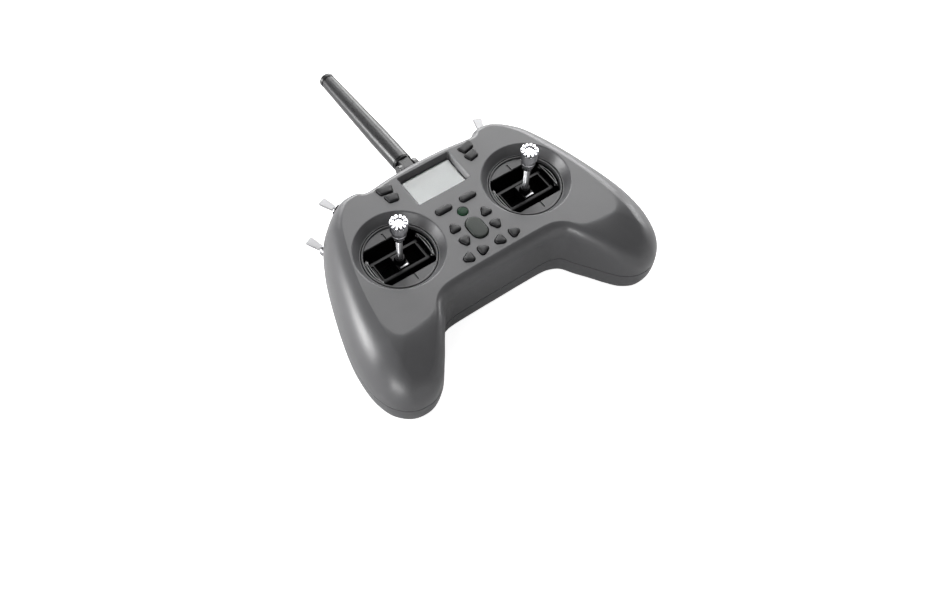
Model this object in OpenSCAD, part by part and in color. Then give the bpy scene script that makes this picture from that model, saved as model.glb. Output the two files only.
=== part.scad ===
// Hand-held radio transmitter controller, laid on its back.
// Origin: on the flat back, midway between the two sticks.
// +X to the right hand, +Y towards the antenna, +Z out of the control face.

/* [Body] */
// Height of the control face above the flat back
face_z = 37.4; // [37:0.2:39]
// Height of the parting line between the two casings
seam_z = 12.3; // [11:0.1:13]
// Wall thickness of the casings
wall = 2.2; // [1.8:0.1:2.4]
// Sideways reach of the rounded lower edge
under_roll = 3.1; // [2.5:0.1:5]

/* [Gimbals] */
// Distance between the two stick axes
stick_gap = 71.4; // [70.8:0.1:72]
// Height of the stick pivots above the back
pivot_z = 25.4; // [25:0.1:25.8]
// Radius of the funnel at the control face
funnel_r = 21.35; // [20.8:0.05:21.6]
// Depth of the funnel
funnel_depth = 4.65; // [4.4:0.05:4.8]
// Outer radius of the gimbal cover ring
cover_r = 17.5; // [17:0.1:17.6]
// Height of the stick end above the control face
stick_rise = 21; // [16:0.5:26]

/* [Keys] */
// How far the keys stand out of the face
key_proud = 1.1; // [0.9:0.1:1.6]
// Gap between a key and its hole
key_gap = 0.3; // [0.25:0.05:0.4]

/* [Switches] */
// Height of the rear pair of toggle switches above the back
switch_z = 22.9; // [22:0.1:24]
// Direction of the toggle levers, in degrees from +X
switch_turn = 69; // [66:1:72]
// Free length of a toggle lever
lever_len = 8.3; // [7:0.1:10]

/* [Antenna] */
// Height of the antenna hinge above the back
mast_z = 21.1; // [20.5:0.1:22.5]
// Length from the hinge to the tip
mast_len = 79; // [60:1:100]
// Downward slope of the antenna at rest, in degrees
mast_slope = 3.6; // [0:0.2:5]

/* [Hidden] */

$fn = 48;

eps = 0.01;
small_fn = 32;
round_fn = 64;

// Colours
body_grey = [0.42, 0.42, 0.43];
key_grey = [0.22, 0.22, 0.23];
dark = [0.08, 0.08, 0.09];
silver = [0.8, 0.8, 0.82];

// ---------- casing outline ----------
// Half of the outline, from the middle of the rear edge round the right grip to the
// middle of the front edge. Each row is [x, y, roll, slope, reach]: roll is the width of
// the rounded upper edge, slope is how steep the face is where that edge starts, and
// reach is how far the sloping part of the face runs in towards the root of the grip.
half_outline = [
    [0, 39.8, 4.4, 0, 0],
    [15, 39.3, 4.4, 0, 0],
    [27.5, 37.9, 4.4, 0, 0],
    [31, 38.3, 4.4, 0, 0],
    [33.8, 40.2, 4.6, 0, 0],
    [40.5, 40.9, 5.4, 0, 0],
    [47, 39, 6.8, 0, 0],
    [53, 35.2, 8.4, 0, 0],
    [59, 29.6, 10.2, 0, 0],
    [65, 18.6, 11.6, 0, 0],
    [70.3, 4.2, 12.2, 0, 0],
    [74.8, -10.1, 13.4, 0, 0],
    [78, -23, 14.6, 0.05, 0.04],
    [79.3, -33.6, 14.6, 0.2, 0.14],
    [79, -44, 13.6, 0.4, 0.3],
    [75.8, -53.6, 12, 0.55, 0.42],
    [68.6, -60.2, 9.4, 0.66, 0.52],
    [59.4, -61.4, 6.6, 0.72, 0.58],
    [52, -57.8, 5, 0.7, 0.57],
    [46.8, -51.8, 4.4, 0.58, 0.5],
    [42.2, -45.2, 3.9, 0.45, 0.35],
    [37.6, -38.9, 3.8, 0.25, 0.15],
    [34.2, -33.7, 4, 0.05, 0.03],
    [30, -31.4, 4.4, 0, 0],
    [25, -30.6, 4.4, 0, 0],
    [12.5, -30.4, 4.4, 0, 0],
    [0, -30.4, 4.4, 0, 0]
];
grip_root = [46, -24];     // point that the sloping face of a grip aims at
steps = 2;                 // samples between two rows of the outline
arc_steps = 5;             // rings over the rounded edge
fall_steps = 3;            // rings over the sloping face
crease = 0.2;              // extra slope with which the rounded edge leaves a flat face
fall_power = 1.6;          // how the slope of the face grows towards the edge
edge_aspect = 1.9;         // height of the rounded edge over its width

rows = len(half_outline);
function row(i) = i < 0 ? flip(half_outline[-i])
    : i >= rows ? flip(half_outline[2 * rows - 2 - i]) : half_outline[i];
function flip(r) = [-r[0], r[1], r[2], r[3], r[4]];
// Smooth curve through the rows
function curve(a, b, c, d, t) = 0.5 * (2 * b + (c - a) * t
    + (2 * a - 5 * b + 4 * c - d) * t * t + (3 * b - a - 3 * c + d) * t * t * t);
half_samples = [for (i = [0:rows - 2]) for (j = [0:steps - 1])
    curve(row(i - 1), row(i), row(i + 1), row(i + 2), j / steps)];
samples = concat(half_samples, [half_outline[rows - 1]],
    [for (i = [len(half_samples) - 1:-1:1]) flip(half_samples[i])]);
count = len(samples);
function sample(i) = samples[(i + count) % count];
function at(i) = [sample(i)[0], sample(i)[1]];
function unit(v) = v / norm(v);
// Inward normal, taken over a wide chord so that the shoulder notch doesn't turn it
function inward(i) = let (c = at(i + 2) - at(i - 2)) unit([c[1], -c[0]]);
function side(p) = p[0] < 0 ? -1 : 1;
function root_of(i) = [side(at(i)) * grip_root[0], grip_root[1]];

// Where the face becomes flat, seen from the start c of the rounded edge
function flat_edge(i, c) = let (reach = max(0, sample(i)[4]))
    c + inward(i) * 1.2 * (1 - min(1, reach / 0.05)) + (root_of(i) - c) * reach;
function slope(i) = max(0, sample(i)[3]);
// How far the start of the rounded edge lies below the flat face
function drop(i) = let (c = at(i) + inward(i) * sample(i)[2])
    slope(i) * norm(flat_edge(i, c) - c) / fall_power;
function edge_width(i, thin) = max(sample(i)[2] - thin / 2, 0.6);
// The rounded edge ends in an upright wall at least 1 mm above the parting line
function edge_height(i, thin) = min(edge_aspect * edge_width(i, thin),
    face_z - thin - drop(i) - seam_z - 1);
// Angle on the ellipse of the rounded edge at which that slope and the crease are reached
function start_angle(i) = let (k = (slope(i) + crease * (1 - slope(i))) * edge_width(i, 0)
    / edge_height(i, 0)) asin(min(k, 0.48) / (1 - min(k, 0.48)));

// A ring is a list of [x, y, z], one for each sample.
// thin is how far the whole skin is offset inwards; part runs from 0 at the wall to 1.
function edge_ring(part, thin) = [for (i = [0:count - 1])
    let (e = start_angle(i), a = 90 - part * (90 - e), w = edge_width(i, thin),
        across = w * (1 - (sin(a) - sin(e)) / (1 - sin(e))),
        down = edge_height(i, thin) * (cos(e) - cos(a)) / cos(e),
        p = at(i) + inward(i) * (thin + across))
    [p[0], p[1], face_z - thin - drop(i) - down]];
function fall_ring(t, thin) = [for (i = [0:count - 1])
    let (c = at(i) + inward(i) * (thin + edge_width(i, thin)), p = c + (flat_edge(i, c) - c) * t)
    [p[0], p[1], face_z - thin - drop(i) * pow(1 - t, fall_power)]];
function wall_ring(z, thin) = [for (i = [0:count - 1])
    let (p = at(i) + inward(i) * thin) [p[0], p[1], z]];
function under_ring(angle, thin) = [for (i = [0:count - 1])
    let (p = at(i) + inward(i) * (thin + under_roll * (1 - cos(angle))))
    [p[0], p[1], seam_z - (seam_z - thin) * sin(angle)]];

// Closed skin through rings that run from the open end to the closing face
module skin(rings) {
    last = len(rings) - 1;
    polyhedron(
        points = [for (r = rings) for (p = r) p],
        faces = concat(
            [[for (i = [count - 1:-1:0]) i]],
            [for (k = [0:last - 1]) for (i = [0:count - 1])
                let (n = (i + 1) % count) [k * count + i, (k + 1) * count + n, (k + 1) * count + i]],
            [for (k = [0:last - 1]) for (i = [0:count - 1])
                let (n = (i + 1) % count) [k * count + i, k * count + n, (k + 1) * count + n]],
            [[for (i = [0:count - 1]) last * count + i]]),
        convexity = 6);
}
module upper_skin(thin, base_z) {
    skin(concat(
        [wall_ring(base_z, thin)],
        [for (k = [0:arc_steps]) edge_ring(k / arc_steps, thin)],
        [for (k = [1:fall_steps]) fall_ring(k / fall_steps, thin)]));
}
module lower_skin(thin, top_z) {
    mirror([0, 0, 1]) skin([for (r = concat(
        [wall_ring(top_z, thin)],
        [for (k = [1:arc_steps]) under_ring(k * 90 / arc_steps, thin)]))
        [for (p = r) [p[0], p[1], -p[2]]]]);
}

// ---------- places ----------
gimbal_x = stick_gap / 2;
sides = [-1, 1];
screw_spots = [[62, -38], [60.5, -8], [47, 28], [23.5, -22.3]];
power_at = [0, -9.85];
lamp_at = [0, 1.2];
page_at = [6.8, 6.8];
trim_up_at = [8.7, -4.7];
trim_down_at = [8.6, -12.75];
trim_out_at = [12.6, -21.4];
trim_in_at = [4.8, -21.3];
menu_1_at = [23.2, 31.2];
menu_2_at = [22.7, 25.7];
// Toggle switches: x, y and height above or below switch_z
switch_1_at = [41.4, 41, 0];
switch_2_at = [56.4, 29.2, -6.5];
hinge_y = 45.2;
usb_x = 20;
usb_z = 20.4;

// ---------- outlines of keys ----------
trim_corner_r = 1.25;
trim_corner_out = 1.35;
module trim_outline(grow) {
    offset(r = grow, $fn = 24) hull() {
        for (a = [0, 125, 235]) rotate(a) translate([0, trim_corner_out]) circle(r = trim_corner_r, $fn = 24);
    }
}
module pill_outline(grow) {
    half = 4.1 - 1.65;
    hull() for (s = sides) translate([s * half, 0]) circle(r = 1.65 + grow, $fn = small_fn);
}
module power_outline(grow) {
    half = 6.05 - 3.95;
    hull() for (s = sides) translate([0, s * half]) circle(r = 3.95 + grow, $fn = small_fn);
}
// Slanted menu key, wide along X, pointed at its outer end
module menu_outline(width, grow) {
    corner = 1;
    half = width / 2 - corner;
    rise = 1.2;
    hull() {
        translate([-half, rise]) circle(r = corner + grow, $fn = 20);
        translate([half, rise]) circle(r = corner + grow, $fn = 20);
        translate([half - 0.9, -rise]) circle(r = corner + grow, $fn = 20);
        translate([-half + 0.4, -rise]) circle(r = corner + grow, $fn = 20);
    }
}
module key_outline(kind, grow) {
    if (kind == "trim") trim_outline(grow);
    if (kind == "pill") pill_outline(grow);
    if (kind == "power") power_outline(grow);
    if (kind == "menu_1") menu_outline(7.6, grow);
    if (kind == "menu_2") menu_outline(6.3, grow);
}
// Every key: [kind, x, y, turn]
right_keys = [
    ["pill", page_at[0], page_at[1], 0],
    ["menu_1", menu_1_at[0], menu_1_at[1], 12],
    ["menu_2", menu_2_at[0], menu_2_at[1], 12],
    ["trim", trim_up_at[0], trim_up_at[1], 0],
    ["trim", trim_down_at[0], trim_down_at[1], 180],
    ["trim", trim_in_at[0], trim_in_at[1], 90],
    ["trim", trim_out_at[0], trim_out_at[1], -90]
];
module place_key(k, flip_x) {
    translate([flip_x ? -k[1] : k[1], k[2], 0]) mirror([flip_x ? 1 : 0, 0, 0]) rotate(k[3]) children();
}
flange_low = 32.8;
flange_high = 34;
flange_grow = 0.8;
menu_flange_grow = 0.35;
key_foot = 32;
module key(k, flip_x) {
    color(key_grey) place_key(k, flip_x) {
        translate([0, 0, key_foot]) linear_extrude(face_z + key_proud - 0.35 - key_foot) key_outline(k[0], 0);
        translate([0, 0, key_foot]) linear_extrude(face_z + key_proud - key_foot) key_outline(k[0], -0.35);
        translate([0, 0, flange_low]) linear_extrude(flange_high - flange_low)
            key_outline(k[0], k[1] > 20 ? menu_flange_grow : flange_grow);
    }
}
module power_button() {
    color(key_grey) translate(concat(power_at, [0])) {
        translate([0, 0, key_foot]) linear_extrude(face_z + 0.5 - key_foot) power_outline(0);
        translate([0, 0, key_foot]) linear_extrude(face_z + 0.9 - key_foot) power_outline(-0.5);
        translate([0, 0, flange_low]) linear_extrude(flange_high - flange_low)
            power_outline(flange_grow);
    }
}
module key_holes() {
    for (k = right_keys) for (f = [false, true]) place_key(k, f)
        translate([0, 0, flange_high]) linear_extrude(face_z) key_outline(k[0], key_gap);
    translate(concat(power_at, [flange_high])) linear_extrude(face_z) power_outline(key_gap);
    translate(concat(lamp_at, [flange_high])) cylinder(r = 2.65, h = face_z, $fn = small_fn);
}

// ---------- casings ----------
screen_half = 14.8;
screen_low = 15.4;
screen_high = 33.95;
screen_bevel = 1.4;
screen_depth = 2.3;
module screen_recess() {
    module pane(inset, z) {
        translate([-screen_half + inset, screen_low + inset, z])
            cube([2 * (screen_half - inset), screen_high - screen_low - 2 * inset, eps]);
    }
    hull() {
        pane(0, face_z);
        pane(screen_bevel, face_z - screen_depth);
    }
    hull() {
        pane(screen_bevel, face_z - screen_depth);
        pane(screen_bevel, face_z - screen_depth - 3);
    }
    hull() {
        pane(0, face_z);
        pane(0, face_z + 1);
    }
}
module funnel_cut() {
    translate([0, 0, face_z - funnel_depth]) cylinder(r1 = cover_r + 0.7, r2 = funnel_r,
        h = funnel_depth, $fn = round_fn);
    translate([0, 0, face_z - eps]) cylinder(r = funnel_r, h = 2, $fn = round_fn);
    translate([0, 0, face_z - 8]) cylinder(r = cover_r + 0.4, h = 8, $fn = round_fn);
}
module switch_axis(spot, s) {
    translate([s * spot[0], spot[1], switch_z + spot[2]]) rotate([0, 0, s > 0 ? switch_turn : 180 - switch_turn])
        rotate([0, 90, 0]) children();
}
module casing_bosses() {
    for (s = sides) for (p = screw_spots) translate([s * p[0], p[1], seam_z])
        cylinder(r = 3, h = face_z - seam_z - wall / 2, $fn = 20);
}
module upper_casing() {
    color(body_grey) resize([0, 0, 0]) difference() {
        union() {
            difference() {
                upper_skin(0, seam_z);
                upper_skin(wall, seam_z - 1);
            }
            for (s = sides) translate([s * gimbal_x, 0, face_z - funnel_depth - 0.9])
                cylinder(r = funnel_r - 0.6, h = funnel_depth - 1, $fn = round_fn);
            translate([-screen_half - 0.4, screen_low - 0.4, face_z - screen_depth - 0.8])
                cube([2 * screen_half + 0.8, screen_high - screen_low + 0.8, 2]);
            intersection() {
                casing_bosses();
                upper_skin(wall / 2, seam_z);
            }
        }
        for (s = sides) {
            translate([s * gimbal_x, 0, 0]) funnel_cut();
            switch_axis(switch_1_at, s) translate([0, 0, -8]) cylinder(r = 3.15, h = 16, $fn = 24);
            switch_axis(switch_2_at, s) translate([0, 0, -8]) cylinder(r = 3.15, h = 16, $fn = 24);
            for (p = screw_spots) translate([s * p[0], p[1], seam_z - 1]) cylinder(r = 1.05, h = 9, $fn = 16);
        }
        screen_recess();
        key_holes();
        translate([0, hinge_y, mast_z]) rotate([90, 0, 0]) cylinder(r = 5.2, h = 20, $fn = small_fn);
        translate([usb_x - 4.8, 30, usb_z - 1.9]) cube([9.6, 20, 3.8]);
    }
}
door_half = 20;
door_rear = 16;
door_thick = 1.8;
module lower_casing() {
    color(body_grey) resize([0, 0, 0]) difference() {
        union() {
            difference() {
                lower_skin(0, seam_z);
                lower_skin(wall, seam_z + 1);
            }
            intersection() {
                for (s = sides) for (p = screw_spots) translate([s * p[0], p[1], 0])
                    cylinder(r = 3.6, h = seam_z, $fn = 20);
                lower_skin(wall / 2, seam_z);
            }
        }
        for (s = sides) for (p = screw_spots) {
            translate([s * p[0], p[1], -1]) cylinder(r = 1.4, h = seam_z + 2, $fn = 16);
            translate([s * p[0], p[1], -1]) cylinder(r = 2.6, h = 6, $fn = 20);
        }
        translate([-door_half, -40, -1]) cube([2 * door_half, 40 + door_rear, 3.4]);
    }
}
module battery_door() {
    gap = 0.3;
    color(body_grey) resize([0, 0, 0]) difference() {
        intersection() {
            lower_skin(0, seam_z);
            translate([-door_half + gap, -40, -1])
                cube([2 * (door_half - gap), 40 + door_rear - gap, 1 + door_thick]);
        }
        for (k = [0:4]) translate([-9, -20 + 2 * k, -1]) cube([18, 0.9, 1.5]);
    }
}
module casing_screws() {
    for (s = sides) for (p = screw_spots) color(silver) translate([s * p[0], p[1], 0]) difference() {
        union() {
            translate([0, 0, 3.2]) cylinder(r = 2.3, h = 1.8);
            translate([0, 0, 4.9]) cylinder(r = 1, h = 11);
        }
        for (a = [0, 90]) rotate(a) translate([-1.5, -0.3, 3.1]) cube([3, 0.6, 0.9]);
    }
}

// ---------- screen, board and lamp ----------
glass_z = face_z - 3.7;
window_thick = 0.6;
board_top = 29.6;
module screen_window() {
    color([0.85, 0.87, 0.88]) translate([-14.4, 15.9, glass_z])
        cube([28.8, 17.6, window_thick]);
}
module display_module() {
    color([0.75, 0.77, 0.76]) translate([-15.6, 14.2, board_top]) cube([31.2, 21, glass_z - board_top]);
}
module main_board() {
    color([0.05, 0.25, 0.12]) translate([0, 0, board_top - 1.6]) linear_extrude(1.6)
        polygon([[-18.2, -26], [18.2, -26], [18.2, 18.4], [27.6, 18.4], [27.6, 34.6],
            [-27.6, 34.6], [-27.6, 18.4], [-18.2, 18.4]]);
}
module keypad_mat() {
    color(dark) {
        translate([-17.4, -25.4, board_top]) cube([34.8, 37.6, 1.3]);
        for (s = sides) translate([s * 23 - 4.5, 22, board_top]) cube([9, 12, 1.3]);
    }
}
module status_lamp() {
    color([0.1, 0.3, 0.15]) translate(concat(lamp_at, [0])) {
        translate([0, 0, board_top + 1.3]) cylinder(r = 1.8, h = 4);
        translate([0, 0, board_top + 3.8]) cylinder(r = 2.5, h = face_z - board_top - 3.5);
    }
}

// ---------- gimbals ----------
cover_low = face_z - funnel_depth - 2.15;
plate_edge = 11.3;
module at_gimbal(s) {
    translate([s * gimbal_x, 0, 0]) children();
}
module gimbal_cover(s) {
    color(body_grey) at_gimbal(s) {
        translate([0, 0, cover_low]) difference() {
            cylinder(r = cover_r, h = face_z - funnel_depth - cover_low);
            translate([0, 0, -1]) cylinder(r = cover_r - 0.9, h = 5);
        }
        for (t = [0, 180]) rotate(t) translate([0, 0, cover_low]) difference() {
            intersection() {
                cylinder(r = cover_r - 0.5, h = 1.3);
                translate([-20, plate_edge, 0]) cube([40, 10, 1.3]);
            }
            translate([-0.45, plate_edge - 1, 0.7]) cube([0.9, 5, 2]);
        }
    }
}
frame_half = 16.4;
frame_top = 29.4;
frame_low = 13.4;
ear_at = 14.6;
trunnion_r = 1.5;
module gimbal_frame(s) {
    color(dark) at_gimbal(s) difference() {
        union() {
            translate([-frame_half, -frame_half, frame_low]) cube([2 * frame_half, 2 * frame_half, frame_top - frame_low]);
            for (x = sides) for (y = sides) translate([x * ear_at, y * ear_at, frame_low])
                cylinder(r = 2.4, h = frame_top - frame_low);
        }
        difference() {
            translate([-14.4, -14.4, frame_low - 1]) cube([28.8, 28.8, 20]);
            for (x = sides) for (y = sides) translate([x * ear_at, y * ear_at, 0]) cylinder(r = 2.4, h = 40);
            translate([-15, -15, frame_low - 2]) cube([30, 30, 3.2]);
        }
        translate([0, 0, frame_low - 1]) cylinder(r = 9, h = 4);
        for (x = sides) translate([x * 12, 0, pivot_z]) rotate([0, 90, 0]) translate([0, 0, -5])
            cylinder(r = trunnion_r + 0.06, h = 10);
        for (x = sides) for (y = sides) translate([x * ear_at, y * ear_at, frame_top - 5]) cylinder(r = 0.9, h = 6);
    }
}
module gimbal_clips(s) {
    color(silver) at_gimbal(s) for (x = sides) mirror([x < 0 ? 1 : 0, 0, 0]) {
        translate([14.45, -7, frame_top]) cube([1.9, 14, 0.5]);
        translate([14.5, -4.5, frame_top + 0.5]) cube([1.2, 9, 0.6]);
    }
}
module gimbal_screws() {
    for (s = sides) at_gimbal(s) for (x = sides) for (y = sides) color(silver)
        translate([x * ear_at, y * ear_at, 0]) {
            translate([0, 0, frame_top]) cylinder(r = 1.7, h = 0.9);
            translate([0, 0, frame_top - 4.5]) cylinder(r = 0.85, h = 4.6);
        }
}
yoke_x = 13.2;
yoke_y = 6.4;
module yoke(s) {
    color(dark) at_gimbal(s) translate([0, 0, pivot_z]) difference() {
        union() {
            translate([-yoke_x, -yoke_y, -2.6]) cube([2 * yoke_x, 2 * yoke_y, 5.2]);
            for (x = sides) rotate([0, x * 90, 0]) translate([0, 0, yoke_x - 1]) cylinder(r = trunnion_r, h = 4);
        }
        translate([-11.2, -4.7, -3]) cube([22.4, 9.4, 6]);
        rotate([90, 0, 0]) translate([0, 0, -8]) cylinder(r = 1.26, h = 16);
    }
}
module stick_carrier(s) {
    color(dark) at_gimbal(s) translate([0, 0, pivot_z]) difference() {
        union() {
            translate([-3, -4.4, -3]) cube([6, 8.8, 6]);
            translate([0, 0, 2.5]) cylinder(r1 = 2.9, r2 = 2.4, h = 3.5);
            rotate([90, 0, 0]) translate([0, 0, -6.4]) cylinder(r = 1.2, h = 12.8);
        }
        translate([0, 0, -2]) cylinder(r = 1.5, h = 12);
    }
}
stick_top = face_z + stick_rise - pivot_z;
module stick_shaft(s) {
    color(silver) at_gimbal(s) translate([0, 0, pivot_z - 2]) cylinder(r = 1.5, h = stick_top - 3);
}
module stick_locknut(s) {
    color(silver) at_gimbal(s) translate([0, 0, pivot_z + stick_top - 13]) difference() {
        cylinder(r = 2.5, h = 2.9);
        translate([0, 0, -1]) cylinder(r = 1.5, h = 5);
    }
}
module stick_head(s) {
    color(silver) at_gimbal(s) translate([0, 0, pivot_z + stick_top]) difference() {
        union() {
            translate([0, 0, -5.4]) cylinder(r = 4.1, h = 5.4);
            translate([0, 0, -10]) cylinder(r = 3.4, h = 5);
        }
        translate([0, 0, -11]) cylinder(r = 1.5, h = 6);
        translate([0, 0, -1.1]) cylinder(r = 2.3, h = 2);
        for (k = [0:11]) rotate(k * 30) translate([2.1, -0.45, -1.1]) cube([4, 0.9, 2]);
    }
}

// ---------- toggle switches ----------
bush_r = 2.9;
bush_out = 3.4;
bush_bore = 2.2;
lever_pivot = -0.6;
lever_pin_r = 0.8;
lever_thick = 1.3;
lever_width = 4.6;
// Turns +Z to the axis that a lever flicks about
module across_lever() {
    translate([0, 0, lever_pivot]) rotate([90, 0, 0]) children();
}
module switch_body(spot, s) {
    color(dark) switch_axis(spot, s) difference() {
        union() {
            translate([-3.6, -2.2, -11.7]) cube([7.2, 4.4, 5.7]);
            translate([0, 0, -6]) cylinder(r = bush_r, h = 6 + bush_out);
        }
        translate([0, 0, -3]) cylinder(r = bush_bore, h = 12);
        across_lever() cylinder(r = lever_pin_r + 0.05, h = 8, center = true);
    }
}
module switch_lever(spot, s) {
    color(silver) switch_axis(spot, s) {
        translate([0, 0, -1.8]) cylinder(r = 1.15, h = bush_out + 3);
        across_lever() cylinder(r = lever_pin_r, h = 5.4, center = true);
        intersection() {
            translate([-lever_thick / 2, -lever_width / 2, bush_out + 0.5])
                cube([lever_thick, lever_width, lever_len]);
            translate([-2, 0, bush_out + 0.5 + 3.4]) rotate([0, 90, 0]) scale([1, 0.52, 1])
                cylinder(r = 5, h = 4);
        }
        translate([-lever_thick / 2, -lever_width / 2, bush_out + 4])
            cube([lever_thick, lever_width, lever_len - 3.5]);
    }
}
module switch_nuts() {
    for (s = sides) color(dark) switch_axis(switch_1_at, s) translate([0, 0, 0.9]) difference() {
        cylinder(r = 4.3, h = 1.6, $fn = 6);
        translate([0, 0, -1]) cylinder(r = bush_r, h = 4);
    }
}

// ---------- antenna ----------
module at_hinge() {
    translate([0, hinge_y, mast_z]) children();
}
// Turns +Z to +Y
module along_y() {
    rotate([-90, 0, 0]) children();
}
socket_back = 10.5;
neck_r = 3.2;
module antenna_socket() {
    color(dark) at_hinge() along_y() difference() {
        union() {
            translate([0, 0, -socket_back]) cylinder(r = 7, h = 2.2);
            translate([0, 0, 1.3 - socket_back]) cylinder(r = 5, h = 3.8);
        }
        translate([0, 0, -13]) cylinder(r = neck_r + 0.06, h = 10);
    }
}
ear_r = 4.9;
ear_x = 5.3;
slot_x = 3.1;
tongue_r = 3.85;
module antenna_knuckle() {
    color(dark) at_hinge() difference() {
        union() {
            along_y() translate([0, 0, -socket_back]) cylinder(r = neck_r, h = 6);
            along_y() translate([0, 0, -5.2]) cylinder(r = 5.2, h = 5.2);
            rotate([0, 90, 0]) translate([0, 0, -ear_x]) cylinder(r = ear_r, h = 2 * ear_x);
        }
        translate([-slot_x, -tongue_r - 0.3, -9]) cube([2 * slot_x, 14, 18]);
        rotate([0, 90, 0]) translate([0, 0, -8]) cylinder(r = 1.3, h = 16);
    }
}
module antenna_pin() {
    color(silver) at_hinge() rotate([0, 90, 0]) translate([0, 0, -5.1]) cylinder(r = 1.3, h = 10.2);
}
tube_start = 5.6;
ring_len = 0.9;
cap_len = 4.4;
cap_r = 3.95;
module at_mast() {
    at_hinge() rotate([-mast_slope, 0, 0]) along_y() children();
}
module antenna_tube() {
    color([0.3, 0.3, 0.31]) at_mast() difference() {
        union() {
            translate([0, 0, tube_start]) cylinder(r = 5, h = 22);
            translate([0, 0, tube_start + 22]) cylinder(r1 = 5, r2 = 3.9, h = mast_len - cap_len - tube_start - 22);
            intersection() {
                translate([0.3 - slot_x, -tongue_r, -tongue_r])
                    cube([2 * (slot_x - 0.3), 2 * tongue_r, tube_start + 5]);
                union() {
                    rotate([0, 90, 0]) translate([0, 0, -4]) cylinder(r = tongue_r, h = 8);
                    translate([-4, -tongue_r, 0]) cube([8, 2 * tongue_r, tube_start + 1]);
                }
            }
        }
        rotate([0, 90, 0]) translate([0, 0, -8]) cylinder(r = 1.36, h = 16);
        translate([0, 0, tube_start + 0.5]) difference() {
            cylinder(r = 6, h = ring_len);
            translate([0, 0, -1]) cylinder(r = 4.6, h = 4);
        }
    }
}
module antenna_ring() {
    color(dark) at_mast() {
        translate([0, 0, tube_start + 0.5]) difference() {
            cylinder(r = 4.85, h = ring_len);
            translate([0, 0, -1]) cylinder(r = 4.6, h = 4);
        }
    }
}
module antenna_cap() {
    color(dark) at_mast() translate([0, 0, mast_len - cap_len]) {
        rotate_extrude() polygon(concat([[0, 0], [3.6, 0], [3.6, 0.7], [cap_r, 0.7]],
            [for (a = [0:10:80]) [cap_r * cos(a), 2.6 + 1.8 * sin(a)]], [[0, cap_len]]));
    }
}

// ---------- inside parts ----------
cell_r = 9;
cell_start = -22.4;
cell_low = 3.6;
cell_len = 34.6;
module battery_cells() {
    for (s = sides) color([0.3, 0.45, 0.6]) translate([s * 9.15, cell_start, cell_low + cell_r]) along_y() {
        cylinder(r = cell_r, h = cell_len);
        translate([0, 0, cell_len]) cylinder(r = 3, h = 0.8);
    }
}
module battery_contacts() {
    for (s = sides) color(silver) translate([s * 9.15, 0, cell_low + cell_r]) {
        translate([-4, cell_start - 0.9, -4]) cube([8, 0.9, 8]);
        translate([-4, cell_start + cell_len + 2.6, -5]) cube([8, 0.5, 10]);
        translate([0, cell_start + cell_len + 0.8, 0]) along_y() difference() {
            cylinder(r1 = 2, r2 = 3.4, h = 1.8);
            translate([0, 0, -1]) cylinder(r = 1.2, h = 4);
        }
    }
}
module usb_port() {
    color(silver) translate([usb_x, 38.3, usb_z]) rotate([90, 0, 0]) difference() {
        linear_extrude(7.3) hull() for (s = sides) translate([s * 2.9, 0]) circle(r = 1.6, $fn = small_fn);
        translate([0, 0, -1]) linear_extrude(7) hull() for (s = sides) translate([s * 2.9, 0])
            circle(r = 1.3, $fn = small_fn);
    }
}
module rf_module() {
    color([0.05, 0.2, 0.3]) translate([-12, 17, 19.4]) cube([24, 16, 1.2]);
    color(silver) translate([-10, 18.5, 20.6]) cube([20, 12, 2.6]);
}

upper_casing();
lower_casing();
battery_door();
casing_screws();
screen_window();
display_module();
main_board();
keypad_mat();
status_lamp();
power_button();
key(right_keys[0], true);  // page_key_left
key(right_keys[0], false);  // page_key_right
key(right_keys[1], true);  // menu_key_left_1
key(right_keys[2], true);  // menu_key_left_2
key(right_keys[1], false);  // menu_key_right_1
key(right_keys[2], false);  // menu_key_right_2
key(right_keys[3], true);  // trim_left_up
key(right_keys[4], true);  // trim_left_down
key(right_keys[5], true);  // trim_left_in
key(right_keys[6], true);  // trim_left_out
key(right_keys[3], false);  // trim_right_up
key(right_keys[4], false);  // trim_right_down
key(right_keys[5], false);  // trim_right_in
key(right_keys[6], false);  // trim_right_out
gimbal_cover(-1);  // gimbal_cover_left
gimbal_cover(1);  // gimbal_cover_right
gimbal_frame(-1);  // gimbal_frame_left
gimbal_frame(1);  // gimbal_frame_right
gimbal_clips(-1);  // gimbal_clips_left
gimbal_clips(1);  // gimbal_clips_right
gimbal_screws();
yoke(-1);  // yoke_left
yoke(1);  // yoke_right
stick_carrier(-1);  // stick_carrier_left
stick_carrier(1);  // stick_carrier_right
stick_shaft(-1);  // stick_shaft_left
stick_shaft(1);  // stick_shaft_right
stick_locknut(-1);  // stick_locknut_left
stick_locknut(1);  // stick_locknut_right
stick_head(-1);  // stick_head_left
stick_head(1);  // stick_head_right
switch_body(switch_1_at, -1);  // switch_body_left_1
switch_body(switch_2_at, -1);  // switch_body_left_2
switch_body(switch_1_at, 1);  // switch_body_right_1
switch_body(switch_2_at, 1);  // switch_body_right_2
switch_lever(switch_1_at, -1);  // switch_lever_left_1
switch_lever(switch_2_at, -1);  // switch_lever_left_2
switch_lever(switch_1_at, 1);  // switch_lever_right_1
switch_lever(switch_2_at, 1);  // switch_lever_right_2
switch_nuts();
antenna_socket();
antenna_knuckle();
antenna_pin();
antenna_tube();
antenna_ring();
antenna_cap();
battery_cells();
battery_contacts();
usb_port();
rf_module();
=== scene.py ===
import math

import bmesh
import bpy
import numpy as np
from mathutils import Matrix, Vector


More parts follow.
